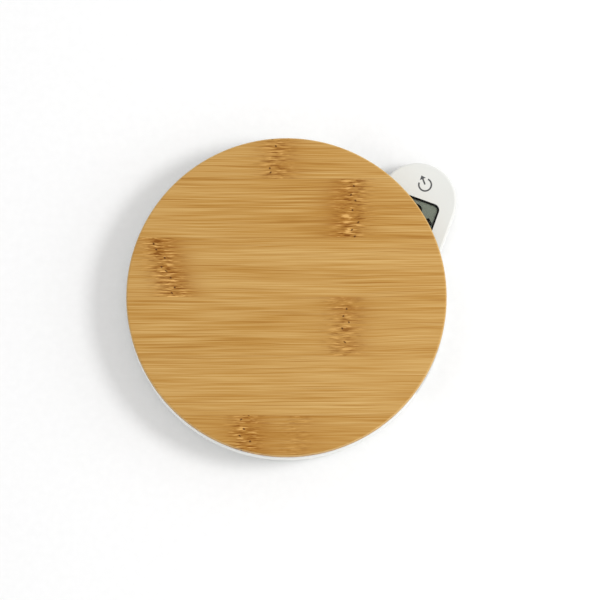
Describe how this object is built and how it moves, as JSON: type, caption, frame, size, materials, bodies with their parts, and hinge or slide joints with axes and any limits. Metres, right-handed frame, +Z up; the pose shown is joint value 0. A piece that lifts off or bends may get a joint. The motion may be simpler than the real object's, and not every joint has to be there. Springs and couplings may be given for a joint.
{
  "type": "kitchen scale",
  "caption": "Slim round kitchen scale with a bamboo weighing platform on a white base and a white display arm that swings out from under the platform.",
  "frame": {"origin": "on the platform's axis, at the plane of the feet's undersides", "axes": "+Z up, out of the weighing surface; +X to the right and +Y away from the user, with the display arm on the +X +Y side; the arm's pivot axis is parallel to Z at x 36.6 mm, y -14.1 mm"},
  "size_m": [0.1444, 0.14, 0.021],
  "materials": {
    "white_plastic": "satin moulded ABS",
    "door_plastic": "satin moulded ABS",
    "button_plastic": "satin moulded ABS",
    "rubber": "pale grey silicone rubber",
    "aluminium": "milled aluminium alloy",
    "steel": "zinc plated steel",
    "spring_steel": "bright spring steel",
    "black_steel": "blackened spring steel",
    "cell_steel": "nickel plated steel can of a lithium coin cell",
    "contact_metal": "plated spring bronze",
    "gauge_foil": "polyimide foil strain gauge",
    "silicone": "white silicone sealant",
    "red_wire": "PVC insulation",
    "black_wire": "PVC insulation",
    "gauge_wire": "fine PVC insulated wires of several colours",
    "grey_wire": "PVC insulation",
    "foam": "double-sided foam tape",
    "bamboo": "flat-pressed bamboo strips, clear matt oil",
    "clear_lens": "clear acrylic",
    "black_plastic": "black moulded plastic",
    "lcd_glass": "grey-green liquid crystal glass",
    "zebra_rubber": "layered conductive rubber",
    "green_board": "green solder mask on glass-fibre board",
    "board_parts": "ceramic parts and solder"
  },
  "bodies": {
    "base": {"base_shell": "white_plastic", "foot_1": "rubber", "foot_2": "rubber", "foot_3": "rubber", "foot_4": "rubber", "load_cell": "aluminium", "load_cell_screws": "steel", "strain_gauges": "gauge_foil", "gauge_sealant": "silicone", "thrust_washer": "white_plastic", "wave_washer": "spring_steel", "pivot_washer": "steel", "circlip": "black_steel", "coin_cell": "cell_steel", "negative_contact": "contact_metal", "positive_contact": "contact_metal", "lead_red": "red_wire", "lead_black": "black_wire", "load_cell_leads": "gauge_wire", "wire_sleeve": "black_wire"},
    "platform": {"platform_carrier": "white_plastic", "load_cell_spacer": "aluminium", "carrier_screws": "steel", "adhesive_pads": "foam", "bamboo_platform": "bamboo"},
    "display_arm": {"arm_bottom_cover": "white_plastic", "arm_top_cover": "white_plastic", "display_lens": "clear_lens", "lcd_frame": "black_plastic", "lcd_panel": "lcd_glass", "zebra_strip_1": "zebra_rubber", "zebra_strip_2": "zebra_rubber", "main_pcb": "green_board", "chip_blob": "black_plastic", "smd_parts": "board_parts", "touch_spring": "spring_steel", "button_dome": "spring_steel", "pcb_screws": "steel", "arm_screws": "steel", "arm_leads": "grey_wire"},
    "battery_door": {"battery_door": "door_plastic"},
    "unit_button": {"unit_button": "button_plastic"}
  },
  "joints": [
    {"name": "platform_travel", "type": "slide", "parent": "base", "child": "platform", "axis": [0, 0, 1], "range_m": [-0.0005, 0], "stiffness_N_per_m": 98000, "deforming": ["load_cell"]},
    {"name": "arm_pivot", "type": "hinge", "parent": "base", "child": "display_arm", "pos_m": [0.0366, -0.0141, 0.0085], "axis": [0, 0, 1], "range_deg": [-89, 30]},
    {"name": "door_turn", "type": "hinge", "parent": "base", "child": "battery_door", "pos_m": [-0.037, 0, 0.0022], "axis": [0, 0, 1], "range_deg": [0, 40]},
    {"name": "unit_press", "type": "slide", "parent": "display_arm", "child": "unit_button", "axis": [0, 0, 1], "range_m": [0, 0.0003], "stiffness_N_per_m": 5300, "deforming": ["button_dome"]}
  ]
}
